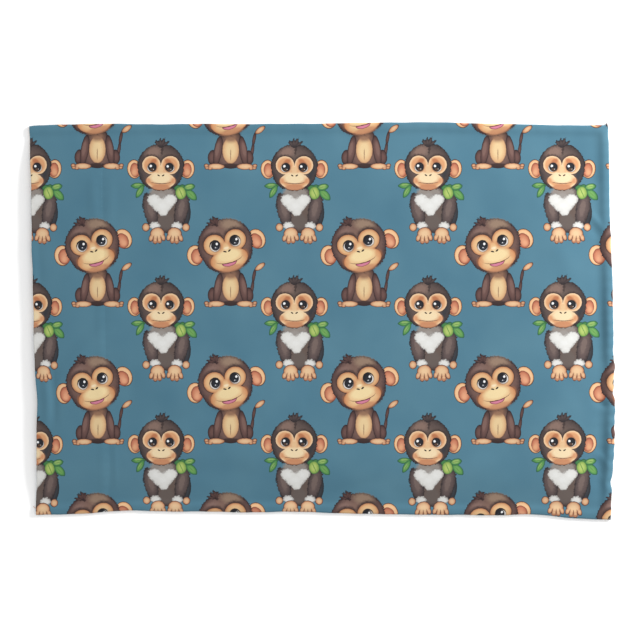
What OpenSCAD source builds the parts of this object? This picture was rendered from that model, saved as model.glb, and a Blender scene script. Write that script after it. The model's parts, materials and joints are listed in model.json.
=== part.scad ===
// A standard pillowcase, laid out flat with its mouth at -X and its front face up.
// Two cloth panels are sewn on three sides, and a deep hem is turned in at the mouth.
// Millimetres. X runs from the mouth to the closed end, Y across, Z up from the surface it lies on.

/* [Case] */
// Finished length, from the mouth to the closed end
case_l = 762; // [660:1:920]
// Finished width, from side seam to side seam
case_w = 512; // [480:1:540]
// Thickness of one layer of cloth
cloth_t = 0.4; // [0.3:0.05:0.6]
// Height of the front face above the surface, where air lifts it
loft = 9; // [8:0.5:14]

/* [Hem] */
// Depth of the hem that is turned in at the mouth
hem_depth = 97; // [50:1:110]
// From the hem's stitch line to the turned edge of its inner layer
stitch_inset = 2; // [1.5:0.5:4]
// Gap between two layers that lie on each other
layer_gap = 0.1; // [0.05:0.05:0.2]
// Gap on each side of the line where the mouth lifts
lift_gap = 0.2; // [0.2:0.05:0.4]

/* [Seams] */
// Width of cloth left inside each seam
allowance = 12; // [8:1:15]
// Width of the overlock stitches past an allowance's cut edge
overlock_w = 0.9; // [0.6:0.1:1.2]
// Thickness of a row of sewing thread
thread_t = 0.3; // [0.2:0.05:0.4]
// Length of the back-tack at each end of the mouth
tack_l = 10; // [6:1:14]

/* [Label] */
// Length of the blank care label along the seam
label_l = 34; // [20:1:50]
// How far the care label stands out of the seam
label_w = 24; // [15:1:40]

/* [Lay] */
// How far the mouth lies past its nominal line, at the middle
mouth_shift = 2.4; // [0:0.1:4]
// How much further in the mouth lies at its lower end
mouth_lean = 4.5; // [0:0.5:6]
// How far the closed end lies short of its nominal line
end_shift = 3; // [0:0.5:5]
// How much shorter the closed end is at its upper corner
end_lean = 2; // [0:0.5:4]
// How far the closed end bows out
end_bow = 4; // [0:0.5:6]
// How far the upper side bows out
upper_bow = 3.2; // [0:0.1:6]
// How far the lower side bows in
lower_bow = 4.5; // [0:0.1:6]
// How far the lower side slants
lower_lean = 3.1; // [0:0.1:6]
// How far the upper corner of the closed end is poked out
tip_out = 4; // [0:0.5:6]

/* [Hidden] */

half_l = case_l / 2;
half_w = case_w / 2;
mouth = -half_l;
hem_line = mouth + hem_depth;

// Height of the front face's upper side against the distance from a sewn edge.
seam_z = 3 * cloth_t;
rise = [[0, seam_z], [3, 3.2], [14, 5.4], [48, loft]];

// Distances from a seam line: the allowance, its thread and its cut edge.
fold_d = 1.2;
thread_d = 2;
raw_d = allowance;
overlock_d = allowance + overlock_w;
facing_d = allowance + 4;
tack_d = 4;

pile_t = 2 * cloth_t;
facing_z = cloth_t + layer_gap;

// Grid lines across the case and along it, close together where the face rises from a seam.
edge_lines = [for (r = rise) r[0]];
v_lines = concat(
    [for (d = edge_lines) -half_w + d],
    [-half_w / 2.6, 0, half_w / 2.6],
    [for (i = [len(edge_lines) - 1:-1:0]) half_w - edge_lines[i]]
);
u_lines = concat(
    [hem_line + lift_gap, -half_l * 0.4, 0, half_l * 0.3, half_l * 0.6],
    [for (i = [len(edge_lines) - 1:-1:0]) half_l - edge_lines[i]]
);
back_u = [mouth, hem_line, -half_l * 0.4, 0, half_l * 0.3, half_l * 0.6, half_l - 48, half_l];
back_v = [-half_w, -half_w / 2, 0, half_w / 2, half_w];

cloth_blue = [0.33, 0.51, 0.61];
facing_blue = [0.30, 0.47, 0.57];
pale_blue = [0.70, 0.78, 0.83];
thread_blue = [0.25, 0.42, 0.52];
label_white = [0.95, 0.95, 0.93];
tan_thread = [0.72, 0.50, 0.36];

// Where a point of the flat pattern lies once the case is laid out, by hand and not quite square.
function lay_x(s, t) =
    (1 - s) / 2 * (mouth_shift - mouth_lean * t)
    - (1 + s) / 2 * (end_shift + end_lean * t)
    + pow(max(0, s), 2) * end_bow * (1 - t * t) * (1 - t);
function lay_y(s, t) =
    (1 + t) / 2 * (1.4 + 0.6 * s + upper_bow * (1 - s * s))
    + (1 - t) / 2 * (0.1 - lower_lean * s + lower_bow * (1 - s * s) * (1 - 0.4 * s));
// The poked-out tip fades away over this distance from its corner.
tip_fade = 3;
function tip(u, v) = tip_out * max(0, 1 - (half_l - u) / tip_fade) * max(0, 1 - (half_w - v) / tip_fade);
function spread(u, v) =
    let (s = u / half_l, t = v / half_w)
    [u + lay_x(s, t) - tip(u, v) / 2, v + lay_y(s, t) + tip(u, v)];

// The laid case is moved so that its box is centred on the frame.
end_xs = [for (u = [-half_l, half_l]) for (v = concat(back_v, v_lines)) spread(u, v)[0]];
side_ys = [for (v = [-half_w, half_w]) for (u = concat(back_u, u_lines)) spread(u, v)[1]];
centre = [(min(end_xs) + max(end_xs)) / 2, (min(side_ys) + max(side_ys)) / 2];
function laid(u, v) = spread(u, v) - centre;

// Upper side of the front face, which falls to the seam line on three sides.
function front_z(u, v) =
    min(lookup(half_w - abs(v), rise), lookup(half_l - u, rise));

// A layer of cloth or thread over a grid of the flat pattern. under(u, v) is its lower side.
module ply(us, vs, t, under) {
    nu = len(us);
    nv = len(vs);
    count = nu * nv;
    function place(i, j, up) =
        let (p = laid(us[i], vs[j]))
        [p[0], p[1], under(us[i], vs[j]) + up];
    function at(i, j) = i * nv + j;
    lower = [for (i = [0:nu - 1]) for (j = [0:nv - 1]) place(i, j, 0)];
    upper = [for (i = [0:nu - 1]) for (j = [0:nv - 1]) place(i, j, t)];
    cells = [for (i = [0:nu - 2]) for (j = [0:nv - 2]) [at(i, j), at(i + 1, j), at(i + 1, j + 1), at(i, j + 1)]];
    below = [for (c = cells) each [[c[0], c[1], c[2]], [c[0], c[2], c[3]]]];
    above = [for (f = below) [for (k = [2:-1:0]) f[k] + count]];
    rim = concat(
        [for (i = [0:nu - 2]) [at(i, 0), at(i + 1, 0)]],
        [for (j = [0:nv - 2]) [at(nu - 1, j), at(nu - 1, j + 1)]],
        [for (i = [nu - 1:-1:1]) [at(i, nv - 1), at(i - 1, nv - 1)]],
        [for (j = [nv - 1:-1:1]) [at(0, j), at(0, j - 1)]]
    );
    sides = [for (e = rim) each [[e[1], e[0], e[0] + count], [e[1], e[0] + count, e[1] + count]]];
    polyhedron(points = concat(lower, upper), faces = concat(below, above, sides), convexity = 4);
}

// Height of a flat layer.
function level(z) = function(u, v) z;

// A strip inside a side seam: side is 1 for the upper seam and -1 for the lower one.
module side_strip(side, from_d, to_d, t, z, from_u = mouth + 2, to_u = half_l - allowance - 2) {
    vs = side > 0 ? [half_w - to_d, half_w - from_d] : [-half_w + from_d, -half_w + to_d];
    us = [for (k = [0:8]) from_u + (to_u - from_u) * k / 8];
    ply(us, vs, t, level(z));
}

// A strip inside the seam at the closed end.
module end_strip(from_d, to_d, t, z) {
    reach = half_w - fold_d;
    vs = [for (k = [0:8]) -reach + 2 * reach * k / 8];
    ply([half_l - to_d, half_l - from_d], vs, t, level(z));
}

module back_panel() {
    color(cloth_blue) ply(back_u, back_v, cloth_t, level(0));
}

module front_panel() {
    color(cloth_blue) ply(u_lines, v_lines, cloth_t, function(u, v) front_z(u, v) - cloth_t);
}

// The outer layer of the hem on the front, from the mouth to its stitch line.
module front_hem_band() {
    color(cloth_blue)
        ply([mouth, hem_line - lift_gap], v_lines, cloth_t, function(u, v) front_z(u, v) - cloth_t);
}

// The inner layer of that hem, turned in under the band.
module front_hem_facing() {
    inner = [for (v = v_lines) if (abs(v) < half_w - 14) v];
    vs = concat([-half_w + facing_d], inner, [half_w - facing_d]);
    color(facing_blue)
        ply([mouth, hem_line - lift_gap], vs, cloth_t, function(u, v) front_z(u, v) - 2 * cloth_t - layer_gap);
}

module back_hem_facing() {
    color(facing_blue)
        ply([mouth, hem_line], [-half_w + facing_d, 0, half_w - facing_d], cloth_t, level(facing_z));
}

// The row of stitches that shows across the front, beside the hem's turned edge.
module front_hem_stitch() {
    line = hem_line - stitch_inset;
    color(thread_blue)
        ply([line - thread_t, line + thread_t], v_lines, thread_t, function(u, v) front_z(u, v));
}

module back_hem_stitch() {
    line = hem_line - stitch_inset;
    color(thread_blue)
        ply([line - thread_t, line + thread_t], [-half_w + facing_d, half_w - facing_d], thread_t,
            level(facing_z + cloth_t));
}

// Both panels' allowances, pressed together inside the case.
module side_allowance(side) {
    color(pale_blue) side_strip(side, fold_d, raw_d, pile_t, cloth_t);
}

module side_stitch(side) {
    color(thread_blue)
        side_strip(side, thread_d, thread_d + thread_t, thread_t, cloth_t + pile_t, mouth + tack_l + 6);
}

module side_overlock(side) {
    color(thread_blue) side_strip(side, raw_d, overlock_d, pile_t, cloth_t);
}

// Stitches run back and forth where a side seam ends at the mouth.
module mouth_tack(side) {
    color(thread_blue)
        side_strip(side, thread_d, tack_d, thread_t, cloth_t + pile_t, mouth + 3, mouth + 3 + tack_l);
}

module end_seam_allowance() {
    color(pale_blue) end_strip(fold_d, raw_d, pile_t, cloth_t);
}

module end_seam_stitch() {
    color(thread_blue) end_strip(thread_d, thread_d + thread_t, thread_t, cloth_t + pile_t);
}

module end_overlock() {
    color(thread_blue) end_strip(raw_d, overlock_d, pile_t, cloth_t);
}

// A blank satin label, folded double, whose cut ends are caught in the lower side seam.
module care_label() {
    from_u = mouth + hem_depth + 60;
    color(label_white)
        side_strip(-1, overlock_d + 0.1, overlock_d + label_w, cloth_t, facing_z, from_u, from_u + label_l);
}

// The end of the seam's thread, left sticking out of the mouth at its lower corner.
module mouth_thread_tail() {
    p = laid(mouth, -half_w);
    r = 0.3;
    color(tan_thread)
        hull() {
            translate([p[0] - 0.5, p[1] + 8, pile_t]) sphere(r = r, $fn = 10);
            translate([p[0] - 3.6, p[1] + 10, pile_t + 0.4]) sphere(r = r, $fn = 10);
        }
}

back_panel();
front_panel();
back_hem_facing();
front_hem_band();
front_hem_facing();
front_hem_stitch();
back_hem_stitch();
side_allowance(1);  // top_seam_allowance
side_allowance(-1);  // bottom_seam_allowance
end_seam_allowance();
side_stitch(1);  // top_seam_stitch
side_stitch(-1);  // bottom_seam_stitch
end_seam_stitch();
side_overlock(1);  // top_overlock
side_overlock(-1);  // bottom_overlock
end_overlock();
mouth_tack(1);  // top_mouth_tack
mouth_tack(-1);  // bottom_mouth_tack
care_label();
mouth_thread_tail();
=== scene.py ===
import json
import math

import bpy
import numpy as np
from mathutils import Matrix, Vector, noise


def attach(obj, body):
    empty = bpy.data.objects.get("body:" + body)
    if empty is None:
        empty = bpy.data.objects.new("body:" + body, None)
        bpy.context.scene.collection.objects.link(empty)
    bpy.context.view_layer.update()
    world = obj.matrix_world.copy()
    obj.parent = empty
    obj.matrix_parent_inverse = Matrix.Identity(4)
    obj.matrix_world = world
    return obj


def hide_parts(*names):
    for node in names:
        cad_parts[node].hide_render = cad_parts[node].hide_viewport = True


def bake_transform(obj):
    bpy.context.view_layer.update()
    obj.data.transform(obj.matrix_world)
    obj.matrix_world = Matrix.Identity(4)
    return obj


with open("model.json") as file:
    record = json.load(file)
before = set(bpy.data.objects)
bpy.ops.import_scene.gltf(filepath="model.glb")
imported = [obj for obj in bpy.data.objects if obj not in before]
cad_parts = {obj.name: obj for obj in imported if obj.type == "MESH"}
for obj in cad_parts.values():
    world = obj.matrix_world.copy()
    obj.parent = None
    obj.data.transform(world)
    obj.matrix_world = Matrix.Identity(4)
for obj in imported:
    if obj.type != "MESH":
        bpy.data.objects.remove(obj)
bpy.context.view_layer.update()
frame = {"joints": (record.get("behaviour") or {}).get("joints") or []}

# ---------------------------------------------------------------------------
# Sizes, in millimetres. The case lies flat: mouth at -X, closed end at +X.
# ---------------------------------------------------------------------------
MM = 0.001
HALF_L, HALF_W = 381.0, 256.0
MOUTH = -HALF_L
HEM_DEPTH = 97.0
HEM_LINE = MOUTH + HEM_DEPTH
STITCH_INSET = 2.0
CLOTH_T = 0.4
SEAM_Z = 1.0
TURNED_IN = 9.0
ALLOWANCE = 12.0
FRONT_LOFT = 5.6

# How high the front rolls up over a seam, and how far in from its seams the slack inside lifts it.
ROLL_UP = 1.9
SIDE_REACH, END_REACH = 36.0, 44.0
# How much lower the front lies at the mouth, where nothing holds it up.
MOUTH_SAG = 1.0
# The ridge over an allowance and the groove beyond it, along the sides and along the end.
SIDE_RIDGE, SIDE_GROOVE = 0.6, 0.25
END_RIDGE, END_GROOVE = 1.7, 0.65
# How much of its ridge the end's allowance raises all along, and how much more of it near these places:
# place along the end, reach and how much.
ALLOWANCE_UP = 0.6
ALLOWANCE_PEAKS = [(0, 60, 0.8), (-172, 55, 1.0), (190, 60, 0.15)]
# The puckers that a seam's stitches gather: from one to the next at the closed end, and along the sides
# how far it is for each radian of one.
END_PUCKER = 14.5
SIDE_PUCKER = 2.9

# Distances in from a sewn edge at which the cloth has a grid line, close together where it rolls over.
EDGE_LINES = [0, 0.15, 0.5, 1.0, 1.6, 2.4, 3.6, 5, 7, 9, 11, 13, 15, 17.5, 20, 23]
COARSE_EDGE_LINES = [0, 0.4, 1.0, 2.0, 4, 8, 13, 20]

# The line that the mouth lifts about, as the frame's joint has it.
LIFT = next(j for j in frame["joints"] if j["name"] == "mouth_lift")


# ---------------------------------------------------------------------------
# How the flat pattern lies once the case is laid out by hand
# ---------------------------------------------------------------------------
def spread(u, v):
    """The same lay as the frame's: corners and edges a little off square."""
    s, t = u / HALF_L, v / HALF_W
    mouth_way = (1 - s) / 2 * (2.4 - 4.5 * t)
    end_way = (1 + s) / 2 * (3 + 2 * t)
    end_bow = np.maximum(0, s) ** 2 * 4 * (1 - t * t) * (1 - t)
    upper = (1 + t) / 2 * (1.4 + 0.6 * s + 3.2 * (1 - s * s))
    lower = (1 - t) / 2 * (0.1 - 3.1 * s + 4.5 * (1 - s * s) * (1 - 0.4 * s))
    tip = 4 * np.maximum(0, 1 - (HALF_L - u) / 3) * np.maximum(0, 1 - (HALF_W - v) / 3)
    return u + mouth_way - end_way + end_bow - tip / 2 - 0.2, v + upper + lower + tip - 1.5


def bump(x, centre, width):
    """A round hump of height one."""
    return np.exp(-(((x - centre) / width) ** 2))


# Where the puckered closed end stands in or out of its line: place along it, reach and how far.
END_WAVES = [
    (246, 8, -0.9), (140, 35, -0.7), (112, 4, 0.8), (52, 22, 0.6), (-38, 12, -1.0), (-57, 7, 1.2),
    (-72, 5, -1.0), (-90, 6, -2.1), (-112, 13, 0.9), (-148, 7, 0.7), (-186, 9, -1.1), (-207, 9, -3.6),
    (-232, 14, -1.9), (-256, 10, -1.3),
]
# The same for the three other edges: place along it, reach, and how far into the case it comes.
MOUTH_WAVES = [(170, 60, 1.6), (20, 90, 2.0), (-112, 50, 4.4), (-194, 36, 2.2)]
UPPER_WAVES = [(-310, 70, -1.7), (-60, 70, 0.7), (135, 80, -1.7), (310, 60, 0.5)]
LOWER_WAVES = [
    (-256, 50, 3.6), (-160, 60, 1.9), (-30, 60, 2.5), (110, 60, 1.3), (198, 40, 2.0), (278, 45, 4.6),
]


# The cloth was cut a little off the print's own lines. Along and across the case: how far the print is
# moved in millimetres, how much it has shrunk, and how much it leans. Then its bow and its twist.
PRINT_MOVED = (1.0, -0.5)
PRINT_SHRUNK = (0.0047, 0.0043)
PRINT_LEAN = (0.0141, 0.0049)
PRINT_BOW, PRINT_TWIST = 2.6e-5, 2.3e-5


def print_place(u, v):
    """Where the print stands on the cloth."""
    along = PRINT_MOVED[0] - PRINT_SHRUNK[0] * u - PRINT_LEAN[0] * v
    up = PRINT_MOVED[1] - PRINT_LEAN[1] * u - PRINT_SHRUNK[1] * v - PRINT_BOW * u * u + PRINT_TWIST * u * v
    return np.stack([u + along, v + up], axis=2)


def waves(place, rows):
    """The sum of an edge's waves."""
    return sum(height * bump(place, centre, width) for centre, width, height in rows)


def laid(u, v):
    """Where a point of the pattern lies, with the small wavering of each edge."""
    x, y = spread(u, v)
    near_end = np.exp(-(HALF_L - u) / 22)
    near_mouth = np.exp(-(u - MOUTH) / 45)
    near_side = np.exp(-(HALF_W - np.abs(v)) / 40)
    corner = np.clip((HALF_W - np.abs(v)) / 8, 0, 1)
    pucker = 0.3 * np.sin(v * 2 * math.pi / END_PUCKER + 1.1) * (0.3 + bump(v, -115, 100))
    x = x + near_end * (1.3 + waves(v, END_WAVES) + pucker * corner)
    x = x + near_mouth * (0.9 + waves(v, MOUTH_WAVES) + 0.3 * np.sin(v / 9 + 0.6))
    wander = 0.2 * np.sin(u / 17 + 1.5 * np.sign(v)) + 0.15 * np.sin(u / 6.3 + v / 99)
    inwards = np.where(v > 0, waves(u, UPPER_WAVES), waves(u, LOWER_WAVES))
    along = np.clip((HALF_L - np.abs(u)) / 10, 0, 1)
    y = y - near_side * np.sign(v) * (inwards + wander) * along
    return x, y


# Soft creases of the front: from, to, half-width and height, all on the pattern.
CREASES = [
    ((-279, -156), (-279, -228), 1.6, -0.7),
    ((-274.5, -156), (-274.5, -228), 2.4, 0.5),
    ((-250, -84), (-20, -112), 38.0, 2.4),
    ((-230, -196), (-60, -206), 16.0, -1.2),
    ((-299, 196), (-297, 128), 5.0, 0.55),
    ((-291, 205), (-289, 120), 2.6, -0.45),
    ((-273, 190), (-276, 120), 5.5, 0.5),
    ((-357, -60), (-356, -140), 4.5, -1.3),
    ((-367, -50), (-366, -150), 5.0, 0.8),
    ((-372, 120), (-370, -10), 4.0, -0.5),
    ((-345, -70), (-258, 12), 11.0, 0.9),
    ((-330, -100), (-230, -30), 9.0, -0.7),
    ((-250, -190), (-90, -120), 17.0, 1.0),
    ((-235, -150), (-110, -100), 10.0, -0.8),
    ((-60, -226), (70, -160), 14.0, 0.8),
    ((-20, -240), (90, -205), 9.0, -0.6),
    ((120, -232), (230, -176), 13.0, 0.8),
    ((160, -190), (262, -150), 12.0, -0.5),
    ((352, 146), (374, 118), 4.0, 1.3),
    ((344, 138), (368, 108), 5.0, -0.9),
    ((352, -100), (378, -112), 4.0, -1.3),
    ((356, -168), (377, -186), 4.5, 1.1),
    ((318, 236), (366, 176), 9.0, -0.7),
    ((300, 120), (338, 40), 14.0, 0.7),
    ((290, -20), (346, -120), 13.0, -0.6),
    ((-200, 210), (-60, 180), 15.0, 0.5),
    ((20, 224), (150, 196), 13.0, -0.45),
]


def crease(u, v, start, end, width, height):
    """A soft ridge, or a groove where its height is negative, that dies away at both ends."""
    du, dv = end[0] - start[0], end[1] - start[1]
    length = math.hypot(du, dv)
    along = ((u - start[0]) * du + (v - start[1]) * dv) / length**2
    across = ((u - start[0]) * dv - (v - start[1]) * du) / length
    fade = np.clip(4 * along * (1 - along), 0, 1) ** 0.8
    return height * fade * np.exp(-((across / width) ** 2))


def rumple(u, v, size, seed):
    """Uneven slack in the cloth, with humps of about this size."""
    flat = zip(np.ravel(u), np.ravel(v))
    values = [noise.noise(Vector((a / size, b / size, seed))) for a, b in flat]
    return np.array(values).reshape(np.shape(u))


def roll(d):
    """The round edge where a panel turns over the seam."""
    return np.sqrt(1 - (1 - np.clip(d / 2, 0, 1)) ** 2)


def swell(d, reach):
    """Rises from 0 at a seam to 1 inside the case."""
    return 1 - np.exp(-((np.maximum(d - 9, 0) / reach) ** 2))


def grow(d, reach):
    """Rises straight from 0 at an edge to 1 this far in from it."""
    return np.clip(d / reach, 0, 1)


def allowance_relief(v, side, end):
    """The allowances inside push up a ridge along each seam, and the cloth dips beyond it."""
    z = SIDE_RIDGE * bump(side, 7, 4.5) * grow(end, 14)
    z = z - SIDE_GROOVE * bump(side, 16, 5) * grow(end, 20)
    stood_up = ALLOWANCE_UP + waves(v, ALLOWANCE_PEAKS)
    z = z + END_RIDGE * stood_up * bump(end, 6.5, 5) * grow(side, 14)
    return z - END_GROOVE * stood_up * bump(end, 18, 6.5) * grow(side, 30)


def pucker_relief(u, v, side, end):
    """Small humps that the seams' stitches gather, strongest near the middle of the end's lower half."""
    at_end = np.sin(v * 2 * math.pi / END_PUCKER + 1.1) * np.exp(-end / 9) * grow(end, 1.5)
    at_side = np.sin(u / SIDE_PUCKER + 2 * np.sin(u / 41)) * np.exp(-side / 8) * grow(side, 2)
    return 0.55 * at_end * (0.35 + 0.65 * bump(v, -115, 110)) * grow(side, 12) + 0.16 * at_side


def slack_relief(u, v):
    """Uneven slack of three sizes, and the creases."""
    slack = 0.85 * rumple(u, v, 120, 3.1) + 0.4 * rumple(u + 0.5 * v, v - 0.5 * u, 46, 7.7)
    slack = slack + 0.12 * rumple(u, v, 19, 1.4)
    for start, end_point, width, height in CREASES:
        slack = slack + crease(u, v, start, end_point, width, height)
    return slack


def front_top(u, v):
    """Height of the front's outer side over the surface that the case lies on."""
    u = np.maximum(u, MOUTH)
    side, end = HALF_W - np.abs(v), HALF_L - u
    z = SEAM_Z + CLOTH_T + ROLL_UP * np.minimum(roll(side), roll(end))
    z = z + allowance_relief(v, side, end)
    z = z + FRONT_LOFT * swell(side, SIDE_REACH) * swell(end, END_REACH)
    z = z + pucker_relief(u, v, side, end)
    z = z - MOUTH_SAG * np.exp(-(u - MOUTH) / 26) * swell(side, SIDE_REACH)
    z = z + hem_relief(u, v) * grow(side, 6)
    return z + slack_relief(u, v) * grow(side, 14) * grow(end, 14)


def hem_relief(u, v):
    """The hem is three layers thick at its turned edge, and its stitches pull it down in a line."""
    stitch = HEM_LINE - STITCH_INSET
    thick = 0.35 * bump(u, HEM_LINE - 6.5, 4.0)
    pulled = -0.5 * bump(u, stitch, 1.9)
    uneven = 0.14 * np.sin(v * 2 * math.pi / 13 + 2 * np.sin(v / 37)) * bump(u, stitch, 5)
    return thick + pulled + uneven


def back_height(u, v):
    """Height of the middle of the back's cloth, which lies flat and rolls up to the seam line."""
    d = np.minimum(HALF_W - np.abs(v), HALF_L - u)
    return CLOTH_T / 2 + (SEAM_Z - CLOTH_T) * (1 - roll(d))


# ---------------------------------------------------------------------------
# Grids and shells of cloth
# ---------------------------------------------------------------------------
def across_lines(edge_lines, step):
    """Grid lines from one side seam to the other."""
    inner = HALF_W - edge_lines[-1] - step
    middle = np.linspace(-inner, inner, int(round(2 * inner / step)) + 1)
    return np.concatenate([[-HALF_W + d for d in edge_lines], middle, [HALF_W - d for d in edge_lines[::-1]]])


def along_lines(start, edge_lines, step):
    """Grid lines from start to the closed end."""
    inner = HALF_L - edge_lines[-1] - step
    middle = np.linspace(start, inner, int(round((inner - start) / step)) + 1)
    return np.concatenate([middle, [HALF_L - d for d in edge_lines[::-1]]])


def facing_way(points, flip):
    """Unit vectors out of a grid of points."""
    down = np.gradient(points, axis=0)
    across = np.gradient(points, axis=1)
    normals = np.cross(down, across)
    normals /= np.linalg.norm(normals, axis=2, keepdims=True) + 1e-12
    return -normals if flip else normals


def shell(name, middle, pattern, printed, reverse, flip=False, thick=CLOTH_T):
    """A closed thin solid about a grid of points. pattern holds each point's place on the printed cloth."""
    rows, cols = middle.shape[:2]
    half = facing_way(middle, flip) * thick / 2
    points = np.concatenate([(middle + half).reshape(-1, 3), (middle - half).reshape(-1, 3)]) * MM
    index = np.arange(rows * cols).reshape(rows, cols)
    a, b = index[:-1, :-1].ravel(), index[1:, :-1].ravel()
    c, d = index[1:, 1:].ravel(), index[:-1, 1:].ravel()
    outer = np.stack([a, b, c, d], axis=1)
    if flip:
        outer = outer[:, ::-1]
    count = rows * cols
    inner = outer[:, ::-1] + count
    rim = np.concatenate([index[:, 0], index[-1, 1:], index[-2::-1, -1], index[0, -2:0:-1]])
    after = np.roll(rim, -1)
    sides = np.stack([rim, rim + count, after + count, after], axis=1)
    if flip:
        sides = sides[:, ::-1]
    faces = np.concatenate([outer, inner, sides])
    mesh = bpy.data.meshes.new(name)
    mesh.from_pydata(points.tolist(), [], faces.tolist())
    mesh.materials.append(printed)
    mesh.materials.append(reverse)
    inner_side = np.zeros(len(faces), int)
    inner_side[len(outer):len(outer) + len(inner)] = 1
    mesh.polygons.foreach_set("material_index", inner_side)
    mesh.polygons.foreach_set("use_smooth", np.ones(len(faces), bool))
    layer = mesh.uv_layers.new(name="pattern")
    corners = np.empty(len(mesh.loops), int)
    mesh.loops.foreach_get("vertex_index", corners)
    places = np.concatenate([pattern.reshape(-1, 2)] * 2)[corners]
    layer.data.foreach_set("uv", places.ravel().astype(np.float32))
    mesh.validate()
    mesh.set_sharp_from_angle(angle=math.radians(50))
    piece = bpy.data.objects.new(name, mesh)
    bpy.context.scene.collection.objects.link(piece)
    return piece


def cloth_grid(u, v, height):
    """Points of a layer over a grid of the pattern, at a height."""
    x, y = laid(u, v)
    return np.stack([x, y, height], axis=2)


# ---------------------------------------------------------------------------
# Materials
# ---------------------------------------------------------------------------
def linear(code):
    """A hex colour as linear light, with alpha 1."""
    code = code.lstrip("#")
    channels = [int(code[i:i + 2], 16) / 255 for i in (0, 2, 4)]
    light = [c / 12.92 if c <= 0.04045 else ((c + 0.055) / 1.055) ** 2.4 for c in channels]
    return (*light, 1.0)


def add(tree, kind, inputs=(), **settings):
    """Adds a node with its settings. An input is a value, or a socket that it is linked to."""
    node = tree.nodes.new(kind)
    for key, value in settings.items():
        setattr(node, key, value)
    for key, value in dict(inputs).items():
        if isinstance(value, bpy.types.NodeSocket):
            tree.links.new(value, node.inputs[key])
        else:
            node.inputs[key].default_value = value
    return node


# Nodes work out every pattern with these two.
MATH, VECTOR_MATH = "ShaderNodeMath", "ShaderNodeVectorMath"


def start_material(name):
    """An empty material and its node tree."""
    material = bpy.data.materials.new(name)
    material.use_nodes = True
    tree = material.node_tree
    tree.nodes.clear()
    return material, tree


def finish_material(tree, **inputs):
    """Joins the one shader to the output."""
    named = {key.replace("_", " "): value for key, value in inputs.items()}
    shader = add(tree, "ShaderNodeBsdfPrincipled", named)
    add(tree, "ShaderNodeOutputMaterial", {"Surface": shader.outputs[0]})


# ---------------------------------------------------------------------------
# The print: two small generic monkeys, repeated half a step apart on plain blue.
# Every shape is an ellipse: x, y, half-width, half-height and turn in degrees, in millimetres.
# ---------------------------------------------------------------------------
REPEAT = (174.8, 179.0)
# A repeat starts this far under a figure's feet.
UNDER_FEET = 22.0
# How far in from its edge a shape's tones run.
DEPTH = 16.0

# Tones run inwards from an edge: how far in, colour, and how solid.
CHESTNUT = [
    (0, "#2A1E1E", 1), (1.1, "#35262A", 1), (2.4, "#553F3C", 1), (6.5, "#6E534C", 1), (15, "#7D6156", 1),
]
DARK_FUR = [
    (0, "#231C1E", 1), (1.0, "#2E2627", 1), (2.4, "#473C3A", 1), (8, "#5C4D49", 1), (15, "#66564F", 1),
]
LIMB = [(0, "#2A1D1E", 1), (0.9, "#362526", 1), (2.0, "#523A37", 1), (5, "#694C47", 1)]
SLATE_LIMB = [(0, "#292326", 1), (1.0, "#332B2D", 1), (2.4, "#4B403F", 1), (6, "#5F504E", 1)]
SLATE = [(0, "#26272B", 1), (2.5, "#313339", 1), (8, "#3F4247", 1)]
PEACH = [(0, "#3E2825", 1), (0.8, "#553A30", 1), (1.5, "#C5895F", 1), (3.6, "#DDAC7C", 1), (8, "#E7C08F", 1)]
FACE_TAN = [
    (0, "#3A2724", 1), (0.7, "#5B4035", 1), (1.3, "#F0CFA8", 1), (2.6, "#E9BB8E", 1), (4.5, "#D99F72", 1),
]
EAR_RIM = [(0, "#3C2523", 1), (0.8, "#5E3B30", 1), (1.5, "#E4AE7E", 1), (3.2, "#F0C294", 1)]
EAR_HOLLOW = [(0, "#7C4437", 1), (1.2, "#A75F48", 1), (3.2, "#C97F60", 1), (8, "#DB9A78", 1)]
PAW = [(0, "#3F2926", 1), (0.8, "#6B4637", 1), (1.6, "#C68E6A", 1), (3.4, "#E0B48B", 1), (7, "#E8C49A", 1)]
TAN_BELLY = [
    (0, "#5A3F38", 1), (0.8, "#8A6450", 1), (2.0, "#CFA378", 1), (5, "#DFB98A", 1), (9, "#E6C999", 1),
]
WHITE_FUR = [(0, "#7F7B79", 1), (1.0, "#B9B6B2", 1), (2.6, "#DEDDD9", 1), (9, "#E7E7E4", 1)]
NIGHT = [(0, "#17131A", 1), (1.0, "#19171C", 1), (3.5, "#22262F", 1), (6, "#14151A", 1)]
EYE_WHITE = [(0, "#8A8078", 1), (0.9, "#DCD6D0", 1), (3, "#E8E4DE", 1)]
INK = [(0, "#2A1A18", 1), (2, "#2A1A18", 1)]
SMILE_LINE = [(0, "#4A2622", 1), (1, "#431F1C", 1)]
TONGUE = [(0, "#5A2428", 1), (0.7, "#A04E62", 1), (1.6, "#D27F98", 1)]
GLINT = [(0, "#F2F3F2", 1), (1, "#FFFFFF", 1)]
LEAF = [(0, "#244F38", 1), (0.9, "#386F45", 1), (2.4, "#569250", 1), (4, "#70A45A", 1)]
DARK_LEAF = [(0, "#224A38", 1), (0.9, "#2E623F", 1), (2.4, "#457F49", 1)]
PALE_LEAF = [(0, "#3A6B3C", 1), (0.8, "#6A954A", 1), (2.2, "#97B25A", 1), (5, "#B2C76E", 1)]


def soft(colour, strength, reach):
    """A tone that fades in from nothing at its edge, for shading."""
    return [(0, colour, 0), (reach * 0.35, colour, strength * 0.3), (reach, colour, strength)]


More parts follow.
